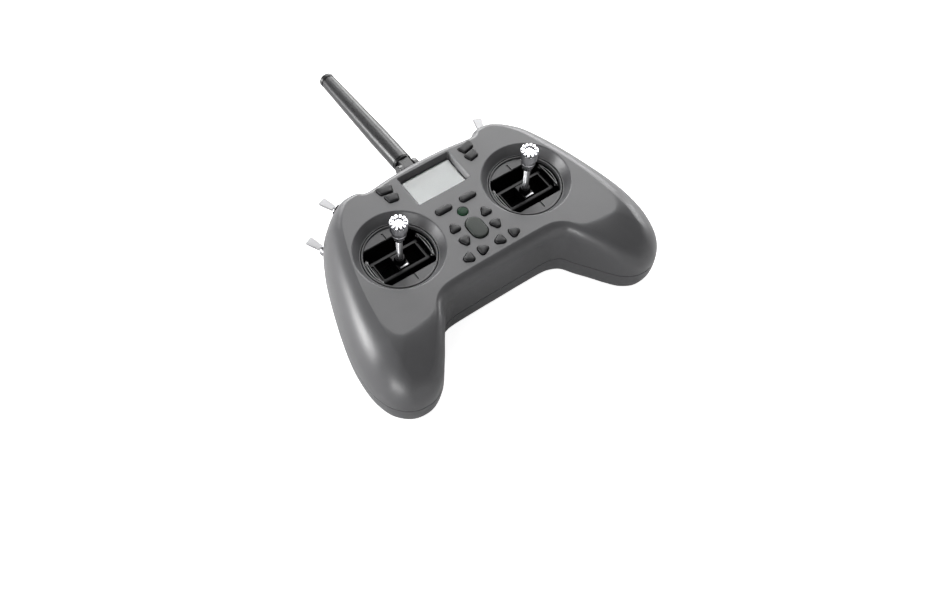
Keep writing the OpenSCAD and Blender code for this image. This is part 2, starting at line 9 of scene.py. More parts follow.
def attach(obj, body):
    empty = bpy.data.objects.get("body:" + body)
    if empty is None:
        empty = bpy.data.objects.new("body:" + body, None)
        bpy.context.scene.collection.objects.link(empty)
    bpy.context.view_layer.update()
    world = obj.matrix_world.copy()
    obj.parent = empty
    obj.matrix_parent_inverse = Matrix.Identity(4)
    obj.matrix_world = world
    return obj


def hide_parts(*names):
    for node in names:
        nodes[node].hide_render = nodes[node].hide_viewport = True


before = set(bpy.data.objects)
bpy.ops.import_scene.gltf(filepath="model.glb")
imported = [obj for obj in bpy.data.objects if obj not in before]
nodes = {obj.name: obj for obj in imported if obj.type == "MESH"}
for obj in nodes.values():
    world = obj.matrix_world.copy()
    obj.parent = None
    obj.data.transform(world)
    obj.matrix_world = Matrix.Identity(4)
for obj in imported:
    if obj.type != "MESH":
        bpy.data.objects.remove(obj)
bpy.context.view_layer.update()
SIDES = ((-1, "left"), (1, "right"))

# ---------------------------------------------------------------- sizes, in millimetres
MM = 0.001
FACE_Z = 37.4              # control face
SEAM_Z = 12.3              # parting line of the casings
WALL = 2.2                 # wall of the casings
UNDER_ROLL = 3.1           # width of the rounded edge round the back
GIMBAL_X = 35.7            # from the middle to a stick
PIVOT_Z = 25.4             # pivot of the sticks
FUNNEL_R = 21.35
FUNNEL_DEPTH = 4.65
COVER_R = 17.5             # cover ring of a gimbal
STICK_TOP = 58.4
HINGE_Y = 45.2             # antenna hinge
MAST_Z = 21.1
MAST_SLOPE = 3.6           # degrees by which the antenna drops at rest
SWITCH_TURN = 69.0         # direction of the right switches, in degrees from +X
SWITCHES = {"1": (41.4, 41.0, 22.9), "2": (56.4, 29.2, 16.4)}   # x, y, height
SCREWS = ((62, -38), (60.5, -8), (47, 28), (23.5, -22.3))
BEYOND = 2                 # how far a cutter runs past the face


# ---------------------------------------------------------------- shapes
def join(*shapes):
    """One (points, faces) out of several."""
    points, faces, base = [], [], 0
    for p, f in shapes:
        points.append(np.asarray(p, float))
        faces += [[i + base for i in face] for face in f]
        base += len(p)
    return np.vstack(points), faces


def placed(shape, *, move=(0, 0, 0), turn=(0, 0, 0), flip_x=False):
    """The shape turned about x, then y, then z (degrees), then moved, then mirrored."""
    points, faces = shape
    m = Matrix.Translation(move)
    for axis, angle in zip("ZYX", reversed(turn)):
        m = m @ Matrix.Rotation(math.radians(angle), 4, axis)
    m = np.array(m)
    points = points @ m[:3, :3].T + m[:3, 3]
    if flip_x:
        points = points * (-1, 1, 1)
        faces = [list(reversed(f)) for f in faces]
    return points, faces


def loft(rings):
    """Closed solid through rings of the same number of points."""
    n = len(rings[0])
    faces = []
    for k in range(len(rings) - 1):
        for i in range(n):
            j = (i + 1) % n
            faces.append([k * n + i, k * n + j, (k + 1) * n + j, (k + 1) * n + i])
    faces.append(list(range(n - 1, -1, -1)))
    faces.append([(len(rings) - 1) * n + i for i in range(n)])
    return np.vstack(rings), faces


def lathe(profile, n=64):
    """Turned solid through (radius, z) points; both ends are closed with a face."""
    angles = np.arange(n) * 2 * math.pi / n
    return loft([np.stack([r * np.cos(angles), r * np.sin(angles), np.full(n, float(z))], 1)
                 for r, z in profile])


def tube(profile, n=64):
    """Turned ring: the closed (radius, z) profile doesn't touch the axis."""
    m = len(profile)
    angles = np.arange(n) * 2 * math.pi / n
    points = [[r * math.cos(a), r * math.sin(a), z] for a in angles for r, z in profile]
    faces = []
    for i in range(n):
        for k in range(m):
            a, b = i * m, ((i + 1) % n) * m
            j = (k + 1) % m
            faces.append([a + k, b + k, b + j, a + j])
    return np.array(points), faces


def on_circle(r, angle):
    """The point of a circle round the origin at an angle in degrees."""
    return r * math.cos(math.radians(angle)), r * math.sin(math.radians(angle))


def fillet(r, z, radius, start, end, steps=4):
    """(radius, z) points on an arc round the centre (r, z), angles in degrees."""
    out = []
    for k in range(steps + 1):
        across, along = on_circle(radius, start + (end - start) * k / steps)
        out.append((r + across, z + along))
    return out


def hull_outline(circles, grow=0.0, n=96):
    """Outline of the hull of circles (x, y, r), all grown by the same width."""
    c = np.array(circles, float)
    angles = np.arange(n) * 2 * math.pi / n
    d = np.stack([np.cos(angles), np.sin(angles)], 1)
    best = np.argmax(d @ c[:, :2].T + c[:, 2], axis=1)
    return c[best, :2] + d * (c[best, 2] + grow)[:, None]


def at_z(outline, z):
    """A flat outline as a ring at one height, or at a height for each point."""
    return np.column_stack([outline, np.broadcast_to(z, len(outline))])


def hull_ring(circles, grow, z):
    return at_z(hull_outline(circles, grow), z)


def block(low, high, edge=0.2, steps=2):
    """Box with rounded edges."""
    bm = bmesh.new()
    bmesh.ops.create_cube(bm, size=1)
    low, high = np.array(low, float), np.array(high, float)
    for v in bm.verts:
        v.co = Vector((low + (np.array(v.co) + 0.5) * (high - low)).tolist())
    bmesh.ops.bevel(bm, geom=bm.edges[:], offset=edge, segments=steps, profile=0.5, affect="EDGES")
    bm.verts.index_update()
    shape = np.array([v.co for v in bm.verts]), [[v.index for v in f.verts] for f in bm.faces]
    bm.free()
    return shape


def strip(path, width, thick):
    """Flat upright strip with softened edges that follows a path of points."""
    path, upright = np.array(path, float), np.array((0, 0, 1.0))
    soft = 0.82
    section = ((-1, -soft), (-soft, -1), (soft, -1), (1, -soft), (1, soft), (soft, 1), (-soft, 1), (-1, soft))
    rings = []
    for i, p in enumerate(path):
        along = path[min(i + 1, len(path) - 1)] - path[max(i - 1, 0)]
        out = np.cross(along, upright)
        out = out / np.linalg.norm(out) * thick / 2
        up = upright * width / 2
        rings.append(np.array([p + out * a + up * b for a, b in section]))
    return loft(rings)


# ---------------------------------------------------------------- objects
MERGE = 1e-7               # metres


def to_object(name, shape):
    """Blender object, in metres, from a shape in millimetres."""
    mesh = bpy.data.meshes.new(name)
    mesh.from_pydata((np.asarray(shape[0]) * MM).tolist(), [], [list(f) for f in shape[1]])
    bm = bmesh.new()
    bm.from_mesh(mesh)
    bmesh.ops.recalc_face_normals(bm, faces=bm.faces[:])
    bm.to_mesh(mesh)
    bm.free()
    obj = bpy.data.objects.new(name, mesh)
    bpy.context.scene.collection.objects.link(obj)
    return obj


def mesh_shape(obj):
    """The (points, faces) of an object in millimetres; the object is dropped."""
    points = np.array([v.co for v in obj.data.vertices]) / MM
    faces = [list(f.vertices) for f in obj.data.polygons]
    bpy.data.objects.remove(obj)
    return points, faces


def bake(obj):
    """Applies the modifiers of an object."""
    graph = bpy.context.evaluated_depsgraph_get()
    graph.update()
    mesh = bpy.data.meshes.new_from_object(obj.evaluated_get(graph))
    obj.modifiers.clear()
    obj.data = mesh


def boolean(obj, other, kind):
    """Applies one boolean with a shape and drops the tool."""
    tool = to_object("tool", other)
    mod = obj.modifiers.new("cut", "BOOLEAN")
    mod.operation, mod.object, mod.solver = kind, tool, "EXACT"
    bake(obj)
    bpy.data.objects.remove(tool)


def shade(obj, sharp):
    """Smooth faces, with edges sharper than the angle kept crisp."""
    bm = bmesh.new()
    bm.from_mesh(obj.data)
    bmesh.ops.remove_doubles(bm, verts=bm.verts[:], dist=MERGE)
    bmesh.ops.dissolve_degenerate(bm, edges=bm.edges[:], dist=MERGE)
    limit = math.radians(sharp)
    for f in bm.faces:
        f.smooth = True
    for e in bm.edges:
        e.smooth = len(e.link_faces) == 2 and e.calc_face_angle(0) < limit
    bm.to_mesh(obj.data)
    bm.free()
    mod = obj.modifiers.new("normals", "WEIGHTED_NORMAL")
    mod.keep_sharp = True
    bake(obj)


def piece(name, shape, body, material, replaces=(), sharp=30.0):
    """One finished piece on a body, in place of the nodes that it replaces."""
    obj = shape if isinstance(shape, bpy.types.Object) else to_object(name, shape)
    obj.name = name
    shade(obj, sharp)
    obj.data.materials.clear()
    obj.data.materials.append(material)
    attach(obj, body)
    if replaces:
        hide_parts(*replaces)
    return obj


# ---------------------------------------------------------------- materials
IOR = 1.45
BUMP_HEIGHT = 0.0002       # metres
NOISE_RANGE = (0.3, 0.7)   # where nearly all values of the noise lie


def material(name, colour, rough, *, metal=0.0, colour_spread=0.06, rough_spread=0.05, patch=60.0,
             grain=2500.0, bump=0.02, streak=(1, 1, 1), spec=0.5, emission=None, transmission=0.0):
    """Procedural finish: uneven colour and roughness in patches, fine grain as bump."""
    mat = bpy.data.materials.new(name)
    mat.use_nodes = True
    tree = mat.node_tree
    tree.nodes.clear()
    out = tree.nodes.new("ShaderNodeOutputMaterial")
    bsdf = tree.nodes.new("ShaderNodeBsdfPrincipled")
    tree.links.new(bsdf.outputs[0], out.inputs[0])
    bsdf.inputs["Metallic"].default_value = metal
    bsdf.inputs["Specular IOR Level"].default_value = spec
    bsdf.inputs["IOR"].default_value = IOR
    bsdf.inputs["Transmission Weight"].default_value = transmission
    coords = tree.nodes.new("ShaderNodeTexCoord")
    stretch = tree.nodes.new("ShaderNodeMapping")
    stretch.inputs["Scale"].default_value = streak
    tree.links.new(coords.outputs["Object"], stretch.inputs["Vector"])

    def noise(scale, detail):
        node = tree.nodes.new("ShaderNodeTexNoise")
        node.inputs["Scale"].default_value = scale
        node.inputs["Detail"].default_value = detail
        tree.links.new(stretch.outputs[0], node.inputs["Vector"])
        return node.outputs["Fac"]

    def spread(source, low, high):
        node = tree.nodes.new("ShaderNodeMapRange")
        node.inputs["From Min"].default_value, node.inputs["From Max"].default_value = NOISE_RANGE
        node.inputs["To Min"].default_value = low
        node.inputs["To Max"].default_value = high
        tree.links.new(source, node.inputs["Value"])
        return node.outputs[0]

    patches = noise(patch, 3)
    tint = spread(patches, 1 - colour_spread, 1 + colour_spread)
    mix = tree.nodes.new("ShaderNodeVectorMath")
    mix.operation = "SCALE"
    mix.inputs[0].default_value = colour
    tree.links.new(tint, mix.inputs["Scale"])
    tree.links.new(mix.outputs[0], bsdf.inputs["Base Color"])
    fine = noise(grain, 2)
    tree.links.new(spread(fine, max(rough - rough_spread, 0.02), rough + rough_spread),
                   bsdf.inputs["Roughness"])
    relief = tree.nodes.new("ShaderNodeBump")
    relief.inputs["Strength"].default_value = bump
    relief.inputs["Distance"].default_value = BUMP_HEIGHT
    tree.links.new(fine, relief.inputs["Height"])
    tree.links.new(relief.outputs[0], bsdf.inputs["Normal"])
    if emission:
        bsdf.inputs["Emission Color"].default_value = (*emission[0], 1)
        bsdf.inputs["Emission Strength"].default_value = emission[1]
    return mat


CASING = material("casing_plastic", (0.07, 0.07, 0.073), 0.36, bump=0.06, grain=3200)
KEY = material("key_rubber", (0.011, 0.011, 0.012), 0.42, bump=0.05, grain=3000, spec=0.35)
POWER = material("power_key", (0.021, 0.026, 0.022), 0.45, bump=0.05, grain=3000, spec=0.3)
BLACK = material("black_nylon", (0.004, 0.004, 0.0045), 0.35, bump=0.05, spec=0.25)
COVER = material("cover_plastic", (0.06, 0.06, 0.062), 0.4, bump=0.05, grain=3000)
CHROME = material("chrome", (0.78, 0.78, 0.8), 0.1, metal=1.0, colour_spread=0.03, rough_spread=0.04,
                  bump=0.01)
STEEL = material("steel", (0.3, 0.3, 0.31), 0.32, metal=1.0, bump=0.06, streak=(1, 1, 12), patch=900,
                 colour_spread=0.35)
SILVER = material("bright_lever", (0.26, 0.26, 0.265), 0.36, metal=0.5, bump=0.03)
DULL = material("dull_steel", (0.11, 0.11, 0.11), 0.42, metal=1.0, bump=0.1, patch=1500, colour_spread=0.6)
BOARD = material("board", (0.012, 0.07, 0.03), 0.35, bump=0.05)
RUBBER = material("mat_rubber", (0.02, 0.02, 0.022), 0.7, bump=0.1)
WINDOW = material("window", (0.9, 0.92, 0.92), 0.08, transmission=1.0, bump=0.0)
DISPLAY = material("display_glass", (0.4, 0.41, 0.405), 0.35, colour_spread=0.04, patch=40, bump=0.01)
LAMP = material("lamp_resin", (0.003, 0.022, 0.009), 0.35, colour_spread=0.6, patch=900, spec=0.15,
                emission=((0.02, 0.3, 0.1), 0.02))
MAST = material("mast_plastic", (0.025, 0.025, 0.026), 0.3, bump=0.05, streak=(1, 0.3, 1))
CAP = material("mast_cap", (0.02, 0.02, 0.021), 0.32, bump=0.05)
CELL = material("cell_wrap", (0.05, 0.13, 0.32), 0.3, colour_spread=0.1)

# ---------------------------------------------------------------- outline of the casings
# Half of the outline, from the middle of the rear edge round the right grip to the middle
# of the front edge: x, y, width of the rounded edge, slope of the face there, and how far
# the slope runs in towards the root of the grip.
HALF = [
    (0, 39.8, 4.4, 0, 0), (15, 39.3, 4.4, 0, 0), (27.5, 37.9, 4.4, 0, 0), (31, 38.3, 4.4, 0, 0),
    (33.8, 40.2, 4.6, 0, 0), (40.5, 40.9, 5.4, 0, 0), (47, 39, 6.8, 0, 0), (53, 35.2, 8.4, 0, 0),
    (59, 29.6, 10.2, 0, 0), (65, 18.6, 11.6, 0, 0), (70.3, 4.2, 12.2, 0, 0), (74.8, -10.1, 13.4, 0, 0),
    (78, -23, 14.6, 0.05, 0.04), (79.3, -33.6, 14.6, 0.2, 0.14), (79, -44, 13.6, 0.4, 0.3),
    (75.8, -53.6, 12, 0.55, 0.42), (68.6, -60.2, 9.4, 0.66, 0.52), (59.4, -61.4, 6.6, 0.72, 0.58),
    (52, -57.8, 5, 0.7, 0.57), (46.8, -51.8, 4.4, 0.58, 0.5), (42.2, -45.2, 3.9, 0.45, 0.35),
    (37.6, -38.9, 3.8, 0.25, 0.15), (34.2, -33.7, 4, 0.05, 0.03), (30, -31.4, 4.4, 0, 0),
    (25, -30.6, 4.4, 0, 0), (12.5, -30.4, 4.4, 0, 0), (0, -30.4, 4.4, 0, 0)]
ROOT = np.array((46.0, -24.0))       # root of the right grip, which its slope runs towards
STEPS = 8                            # points of the outline between two rows of HALF
CREASE = 0.2                         # how much of a crease is left where the edge meets the face
FALL_POWER = 1.6                     # the slope falls with this power of the way out
EDGE_ASPECT = 1.9                    # height of the rounded edge over its width
LEDGE = 1.2                          # flat width past the rounded edge where there is no slope
LEDGE_END = 0.05                     # reach of the slope at which that width is gone
MIN_WALL = 1                         # least upright wall above the parting line
MAX_RATIO = 0.48                     # keeps a part of the rounded edge at the steepest slopes
EDGE_RINGS = 22
FALL_PARTS = (0.12, 0.25, 0.4, 0.55, 0.7, 0.85, 1)
UNDER_STEP = 6                       # degrees between rings of the rounded edge round the back


def smooth_outline():
    """Rows of the whole outline: HALF and its mirror image, joined by a smooth curve."""
    rows = np.array(HALF, float)
    flip = np.array((-1, 1, 1, 1, 1.0))
    full = np.vstack([rows, rows[-2:0:-1] * flip])
    out = []
    for i in range(len(full)):
        a, b, c, d = (full[(i + k) % len(full)] for k in (-1, 0, 1, 2))
        for t in np.arange(STEPS) / STEPS:
            out.append(0.5 * (2 * b + (c - a) * t + (2 * a - 5 * b + 4 * c - d) * t ** 2
                              + (3 * b - a - 3 * c + d) * t ** 3))
    return np.array(out)


LINE = smooth_outline()
EDGE = LINE[:, :2]
CHORD = np.roll(EDGE, -STEPS, 0) - np.roll(EDGE, STEPS, 0)
INWARD = np.stack([CHORD[:, 1], -CHORD[:, 0]], 1) / np.linalg.norm(CHORD, axis=1)[:, None]
ROLL, SLOPE, REACH = LINE[:, 2], np.maximum(LINE[:, 3], 0), np.maximum(LINE[:, 4], 0)
ROOTS = np.stack([np.where(EDGE[:, 0] < 0, -1, 1) * ROOT[0], np.full(len(EDGE), ROOT[1])], 1)


def flat_edge(edge):
    """Where the flat face starts, for each point on the inner side of the rounded edge."""
    ledge = (LEDGE * (1 - np.minimum(1, REACH / LEDGE_END)))[:, None]
    return edge + INWARD * ledge + (ROOTS - edge) * REACH[:, None]


START = EDGE + INWARD * ROLL[:, None]
DROP = SLOPE * np.linalg.norm(flat_edge(START) - START, axis=1) / FALL_POWER


# thin is how far a skin lies inside the outer one: 0 outside, WALL inside
def edge_width(thin):
    return ROLL - thin / 2


def edge_height(thin):
    """The rounded edge ends in an upright wall above the parting line."""
    return np.minimum(EDGE_ASPECT * edge_width(thin), FACE_Z - thin - DROP - SEAM_Z - MIN_WALL)


# The angle on the edge's ellipse at which it meets the slope of the face
RATIO = np.minimum((SLOPE + CREASE * (1 - SLOPE)) * edge_width(0) / edge_height(0), MAX_RATIO)
START_ANGLE = np.arcsin(RATIO / (1 - RATIO))


def edge_ring(part, thin):
    """Ring on the rounded edge, from the wall (part 0) to the face (part 1)."""
    first = START_ANGLE
    angle = math.pi / 2 - part * (math.pi / 2 - first)
    across = edge_width(thin) * (1 - (np.sin(angle) - np.sin(first)) / (1 - np.sin(first)))
    down = edge_height(thin) * (np.cos(first) - np.cos(angle)) / np.cos(first)
    return at_z(EDGE + INWARD * (thin + across)[:, None], FACE_Z - thin - DROP - down)


def fall_ring(part, thin):
    """Ring on the slope, from the rounded edge (part 0) to the flat face (part 1)."""
    outer = EDGE + INWARD * (thin + edge_width(thin))[:, None]
    return at_z(outer + (flat_edge(outer) - outer) * part, FACE_Z - thin - DROP * (1 - part) ** FALL_POWER)


def wall_ring(z, thin=0.0):
    return at_z(EDGE + INWARD * thin, z)


def under_ring(angle, thin):
    a = math.radians(angle)
    inset = thin + UNDER_ROLL * (1 - math.cos(a))
    return at_z(EDGE + INWARD * inset, SEAM_Z - (SEAM_Z - thin) * math.sin(a))


def upper_rings(thin, base):
    return (base + [edge_ring(k / EDGE_RINGS, thin) for k in range(EDGE_RINGS + 1)]
            + [fall_ring(part, thin) for part in FALL_PARTS])


def lower_rings(thin, base):
    return base + [under_ring(angle, thin) for angle in range(UNDER_STEP, 91, UNDER_STEP)]


def shell(outer, inner):
    """Closed shell out of an outer and an inner stack of rings that meet at a rim."""
    return loft(outer[::-1] + inner)


# ---------------------------------------------------------------- keys
# A key's outline is the hull of circles: x, y, radius
TRIM_REACH, TRIM_CORNER = 1.35, 1.25
TRIM = [(TRIM_REACH * math.sin(-math.radians(a)), TRIM_REACH * math.cos(math.radians(a)), TRIM_CORNER)
        for a in (0, 125, 235)]
PILL = [(-2.45, 0, 1.65), (2.45, 0, 1.65)]
OVAL = [(0, -2.1, 3.95), (0, 2.1, 3.95)]
FLANGE = (32.8, 34.0)      # heights of the flange that keeps a key in its hole
KEY_FOOT = 32.0
KEY_TOP = FACE_Z + 1.1
POWER_TOP = FACE_Z + 0.9
POWER_Y = -9.85
LAMP_Y, LAMP_R = 1.2, 2.5
HOLE_LOW = 33.4            # where the cutter of a hole in the face starts
KEY_GAP = 0.3
UPPER_KEYS_X = 20          # the menu keys lie further out and have slimmer flanges and edges


def slanted(width):
    half = width / 2 - 1
    return [(-half, 1.2, 1), (half, 1.2, 1), (half - 0.9, -1.2, 1), (-half + 0.4, -1.2, 1)]


# outline, x, y, turn in degrees
RIGHT_KEYS = {
    "page_key": (PILL, 6.8, 6.8, 0), "menu_key_1": (slanted(7.6), 23.2, 31.2, 12),
    "menu_key_2": (slanted(6.3), 22.7, 25.7, 12), "trim_up": (TRIM, 8.7, -4.7, 0),
    "trim_down": (TRIM, 8.6, -12.75, 180), "trim_in": (TRIM, 4.8, -21.3, 90),
    "trim_out": (TRIM, 12.6, -21.4, -90)}


def key_node(kind, side):
    """The node of a key: the side comes after the first part of its name."""
    head, _, tail = kind.partition("_key")
    return f"{head}_key_{side}{tail}" if "_key" in kind else kind.replace("trim", f"trim_{side}")


def key_shape(circles, top, flange, edge=0.7, dome=0.12):
    """Key with a flange, a rounded edge and a slightly domed top."""
    rings = [hull_ring(circles, 0, KEY_FOOT), hull_ring(circles, 0, FLANGE[0]),
             hull_ring(circles, flange, FLANGE[0]), hull_ring(circles, flange, FLANGE[1]),
             hull_ring(circles, 0, FLANGE[1]), hull_ring(circles, 0, top - edge)]
    arcs = 5
    for k in range(1, arcs + 1):
        a = math.radians(90 * k / arcs)
        rings.append(hull_ring(circles, -edge * (1 - math.cos(a)), top - edge + edge * math.sin(a)))
    centre = np.mean([c[:2] for c in circles], axis=0)
    last = rings[-1]
    for k in (0.75, 0.5, 0.25):
        rings.append(at_z(centre + (last[:, :2] - centre) * k, top + dome * (1 - k * k)))
    return loft(rings)


def hole_shape(circles, gap, lip=0.3):
    """Cutter for a hole in the face, flared a little at the face."""
    rings = [hull_ring(circles, gap, HOLE_LOW), hull_ring(circles, gap, FACE_Z - lip)]
    for k in range(1, 4):
        a = math.radians(30 * k)
        rings.append(hull_ring(circles, gap + lip * (1 - math.cos(a)), FACE_Z - lip + lip * math.sin(a)))
    rings.append(hull_ring(circles, gap + lip, FACE_Z + BEYOND))
    return loft(rings)


# ---------------------------------------------------------------- casings
RIM = 0.1                            # half of the gap at the parting line
SEAM_LIP = ((RIM, 0.45), (0.15, 0.25), (0.3, 0.06), (0.5, 0))   # away from the line, inset
DOOR_HALF, DOOR_REAR = 20, 16
DOOR_GAP = 0.3
BOSS_REAR_OF = -20                   # the screws in front of this have no boss of their own
BOSS_LOW, BOSS_TOP = 1.0, 10.6
SCREEN_HALF, SCREEN_LOW, SCREEN_HIGH = 14.8, 15.4, 33.95
SCREEN_BEVEL, SCREEN_DEPTH = 1.4, 2.3
FUNNEL_LOW = 31.85                   # lower rim of a funnel's wall
MAST_HOLE_R, SWITCH_HOLE_R = 5.2, 3.15
USB_X, USB_Z = 20, 20.4
USB_SLOT = [(-2.9, 0, 1.9), (2.9, 0, 1.9)]


def along_switch(shape, key, s):
    """From along +Z at the switch to its place on one side (s -1 left, 1 right)."""
    x, y, z = SWITCHES[key]
    turn = SWITCH_TURN if s > 0 else 180 - SWITCH_TURN
    return placed(placed(shape, turn=(0, 90, 0)), move=(s * x, y, z), turn=(0, 0, turn))


def rounded_rect(x, low, high, corner, grow=0.0):
    return hull_outline([(side * (x - corner), y, corner) for side in (-1, 1)
                         for y in (low + corner, high - corner)], grow)


def seam_lip(up):
    """Rings of the groove at the parting line, above it (up 1) or below it (up -1)."""
    return [wall_ring(SEAM_Z + up * away, inset) for away, inset in SEAM_LIP]


def funnel_cutter():
    """Cutter for a stick's funnel, with a rounded edge at the face."""
    ledge = FACE_Z - FUNNEL_DEPTH
    lip = 0.5
    profile = [(COVER_R + 0.4, 28.9), (COVER_R + 0.4, ledge), (COVER_R + 0.7, ledge),
               (FUNNEL_R - 0.42, FACE_Z - 0.75)]
    profile += [(FUNNEL_R - 0.38 + 0.8 * (1 - math.cos(math.radians(a))),
                 FACE_Z - 0.62 + 0.62 * math.sin(math.radians(a))) for a in (15, 35, 55, 75)]
    profile += [(FUNNEL_R + lip, FACE_Z + 0.01), (FUNNEL_R + lip, FACE_Z + BEYOND)]
    return lathe(profile, 128)


def screen_cutter():
    """Cutter for the bevelled recess and the opening over the display."""
    inner = rounded_rect(SCREEN_HALF - SCREEN_BEVEL, SCREEN_LOW + SCREEN_BEVEL,
                         SCREEN_HIGH - SCREEN_BEVEL, 0.5)
    rings = [at_z(inner, 31.4), at_z(inner, FACE_Z - SCREEN_DEPTH)]
    for grow, z in ((-0.12, -0.25), (0, -0.08), (0.2, 0), (0.2, BEYOND)):
        rings.append(at_z(rounded_rect(SCREEN_HALF, SCREEN_LOW, SCREEN_HIGH, 0.9, grow), FACE_Z + z))
    return loft(rings)


def upper_casing():
    obj = to_object("upper_shell", shell(upper_rings(0, seam_lip(1)),
                                         upper_rings(WALL, [wall_ring(SEAM_Z + RIM, WALL)])))
    funnel_wall = lathe([(FUNNEL_R - 0.6, FUNNEL_LOW), (FUNNEL_R - 0.6, 36.0)], 96)
    add = [placed(funnel_wall, move=(s * GIMBAL_X, 0, 0)) for s, _ in SIDES]
    add.append(loft([at_z(rounded_rect(15.2, 15, 34.4, 1), z) for z in (34.3, 36.2)]))
    boolean(obj, join(*add), "UNION")

    cuts = [placed(funnel_cutter(), move=(s * GIMBAL_X, 0, 0)) for s, _ in SIDES]
    for circles, x, y, turn in RIGHT_KEYS.values():
        lip = 0.12 if x > UPPER_KEYS_X else 0.3
        hole = placed(hole_shape(circles, KEY_GAP, lip), move=(x, y, 0), turn=(0, 0, turn))
        cuts += [hole, placed(hole, flip_x=True)]
    cuts.append(placed(hole_shape(OVAL, KEY_GAP), move=(0, POWER_Y, 0)))
    cuts.append(placed(hole_shape([(0, 0, LAMP_R)], 0.15), move=(0, LAMP_Y, 0)))
    cuts.append(screen_cutter())
    switch_hole = lathe([(SWITCH_HOLE_R, -8), (SWITCH_HOLE_R, 8)], 40)
    cuts += [along_switch(switch_hole, k, s) for s, _ in SIDES for k in SWITCHES]
    cuts.append(placed(lathe([(MAST_HOLE_R, 0), (MAST_HOLE_R, 20)], 48), move=(0, HINGE_Y, MAST_Z),
                       turn=(90, 0, 0)))
    cuts.append(placed(loft([hull_ring(USB_SLOT, 0, z) for z in (0, 20)]), move=(USB_X, 50, USB_Z),
                       turn=(90, 0, 0)))
    boolean(obj, join(*cuts), "DIFFERENCE")
    return obj


def lower_casing():
    obj = to_object("lower_shell", shell(lower_rings(0, seam_lip(-1)),
                                         lower_rings(WALL, [wall_ring(SEAM_Z - RIM, WALL)])))
    boss = lathe([(3.6, BOSS_LOW), (3.6, BOSS_TOP)], 32)
    bosses = [placed(boss, move=(s * x, y, 0)) for s, _ in SIDES for x, y in SCREWS if y > BOSS_REAR_OF]
    boolean(obj, join(*bosses), "UNION")
    screw_hole = lathe([(2.6, -2), (2.6, 5), (1.4, 5), (1.4, 14)], 32)
    cuts = [placed(screw_hole, move=(s * x, y, 0)) for s, _ in SIDES for x, y in SCREWS]
    cuts.append(block((-DOOR_HALF, -40, -1), (DOOR_HALF, DOOR_REAR, 2.4), 0.3))
    boolean(obj, join(*cuts), "DIFFERENCE")
    return obj


def battery_door():
    """The part of the lower casing's outer shape that lies in its opening, with ribs to push it by."""
    obj = to_object("door_shell", loft(lower_rings(0, [wall_ring(SEAM_Z)])))
    half = DOOR_HALF - DOOR_GAP
    boolean(obj, block((-half, -40, -2), (half, DOOR_REAR - DOOR_GAP, 1.8), 0.3), "INTERSECT")
    grooves = [block((-9, -20 + 2 * k, -1), (9, -19.1 + 2 * k, 0.5), 0.15) for k in range(5)]
    boolean(obj, join(*grooves), "DIFFERENCE")
    return obj


piece("casing_upper", upper_casing(), "body", CASING, ["upper_casing"], 24)
piece("casing_lower", lower_casing(), "body", CASING, ["lower_casing"], 24)
piece("door", battery_door(), "battery_door", CASING, ["battery_door"], 24)

# ---------------------------------------------------------------- caps of the keys
for kind, (circles, x, y, turn) in RIGHT_KEYS.items():
    flange = 0.35 if x > UPPER_KEYS_X else 0.8
    made = placed(key_shape(circles, KEY_TOP, flange), move=(x, y, 0), turn=(0, 0, turn))
    for s, side in SIDES:
        node = key_node(kind, side)
        piece("cap_" + node, made if s > 0 else placed(made, flip_x=True), node, KEY, [node], 40)
piece("cap_power", placed(key_shape(OVAL, POWER_TOP, 0.8, 0.6, 0.1), move=(0, POWER_Y, 0)),
      "power_button", POWER, ["power_button"], 40)

# ---------------------------------------------------------------- screen and lamp
GLASS_Z = FACE_Z - 3.7
BOARD_TOP = 29.6
LAMP_EDGE = FACE_Z - 0.1
piece("screen_glass", block((-14.4, 15.9, GLASS_Z), (14.4, 33.5, GLASS_Z + 0.6), 0.12), "body",
      WINDOW, ["screen_window"])
piece("display", block((-15.6, 14.2, BOARD_TOP), (15.6, 35.2, GLASS_Z - 0.05), 0.25), "body",
      DISPLAY, ["display_module"])
lamp_profile = [(1.8, BOARD_TOP + 1.3), (1.8, BOARD_TOP + 3.8), (LAMP_R, BOARD_TOP + 3.8),
                (LAMP_R, LAMP_EDGE)]
lamp_profile += [(LAMP_R * math.cos(math.radians(a)), LAMP_EDGE + 0.4 * math.sin(math.radians(a)))
                 for a in range(12, 88, 12)]
piece("lamp", placed(lathe(lamp_profile, 48), move=(0, LAMP_Y, 0)), "body", LAMP, ["status_lamp"], 40)

# ---------------------------------------------------------------- gimbals
COVER_LOW = FACE_Z - FUNNEL_DEPTH - 2.15
COVER_HIGH = FACE_Z - FUNNEL_DEPTH
COVER_RING = 0.9           # width of the cover's ring
PLATE_EDGE = 11.3          # from the middle to the straight edge of a D-shaped plate
PLATE_TOP = COVER_LOW + 1.3
FRAME_TOP = 29.4
FRAME_SCREW = 14.6         # from the middle to a frame screw, along x and along y
BRACKET_R = 15.3
THREAD = 0.55              # pitch of the grooves that stand for a thread
HEAD_TEETH = 12


def threaded(r, low, high, depth=0.12, pitch=THREAD):
    """(radius, z) points of a grooved rod."""
    n = int((high - low) / pitch)
    step = (high - low) / n
    out = [(r - depth, low)]
    for k in range(n):
        z = low + k * step
        out += [(r, z + step * 0.35), (r, z + step * 0.6), (r - depth, z + step * 0.98)]
    return out


